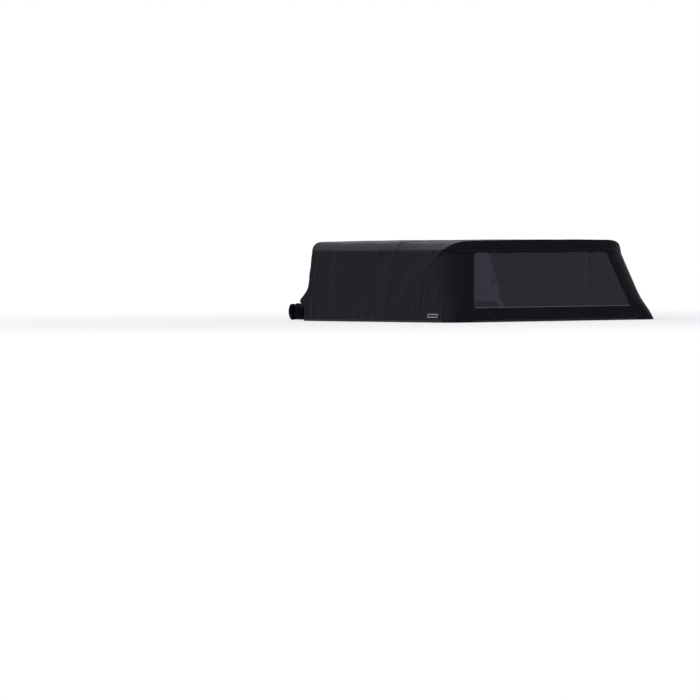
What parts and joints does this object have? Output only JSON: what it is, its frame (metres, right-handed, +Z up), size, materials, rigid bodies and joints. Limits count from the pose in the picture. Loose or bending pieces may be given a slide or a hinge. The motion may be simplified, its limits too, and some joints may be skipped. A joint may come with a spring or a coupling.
{
  "type": "soft folding bed canopy",
  "caption": "Soft black fabric canopy for an open load bed: bent tube bows, side rails, roll-up sides, raked rear with tinted window, front open with its curtain rolled down.",
  "frame": {"origin": "centre of the canopy's footprint, on the underside of the side rails", "axes": "+X right, +Y forward towards the rolled front curtain, +Z up"},
  "size_m": [1.7754, 2.1492, 0.567],
  "materials": {
    "coated_fabric": "matt black coated canvas",
    "roof_fabric": "matt black coated canvas, lit from above",
    "window_film": "tinted flexible clear sheet",
    "zip": "coil zip",
    "hem": "bound edge band",
    "buckle": "moulded plastic",
    "webbing": "woven webbing",
    "pale_webbing": "woven webbing",
    "label": "blank sewn label",
    "black_tube": "black powder coat",
    "black_rail": "black anodised look",
    "bracket": "black powder coat",
    "bolt": "zinc plated"
  },
  "bodies": {
    "root": {"front_bar": "black_rail", "front_bow": "black_tube", "front_curtain_flap": "coated_fabric", "front_curtain_roll": "coated_fabric", "front_roll_ties": "webbing", "left_blank_label": "label", "left_bottom_hem": "hem", "left_bow_bolts": "bolt", "left_eave_buckles": "buckle", "left_front_border": "coated_fabric", "left_front_bow_bracket": "bracket", "left_front_side_zip": "zip", "left_pivot_bracket": "bracket", "left_rear_corner": "coated_fabric", "left_rear_corner_bracket": "bracket", "left_rear_side_zip": "zip", "left_rear_strap": "pale_webbing", "left_roof_strap": "webbing", "left_side_curtain": "coated_fabric", "left_side_rail": "black_rail", "middle_bow": "black_tube", "rear_bar": "black_rail", "rear_bottom_hem": "hem", "rear_bow": "black_tube", "rear_curtain": "coated_fabric", "rear_curtain_zips": "zip", "rear_header": "coated_fabric", "rear_strap_buckles": "buckle", "rear_window": "window_film", "right_blank_label": "label", "right_bottom_hem": "hem", "right_bow_bolts": "bolt", "right_eave_buckles": "buckle", "right_front_border": "coated_fabric", "right_front_bow_bracket": "bracket", "right_front_side_zip": "zip", "right_pivot_bracket": "bracket", "right_rear_corner": "coated_fabric", "right_rear_corner_bracket": "bracket", "right_rear_side_zip": "zip", "right_rear_strap": "pale_webbing", "right_roof_strap": "webbing", "right_side_curtain": "coated_fabric", "right_side_rail": "black_rail", "roof_panel": "roof_fabric"}
  },
  "joints": []
}
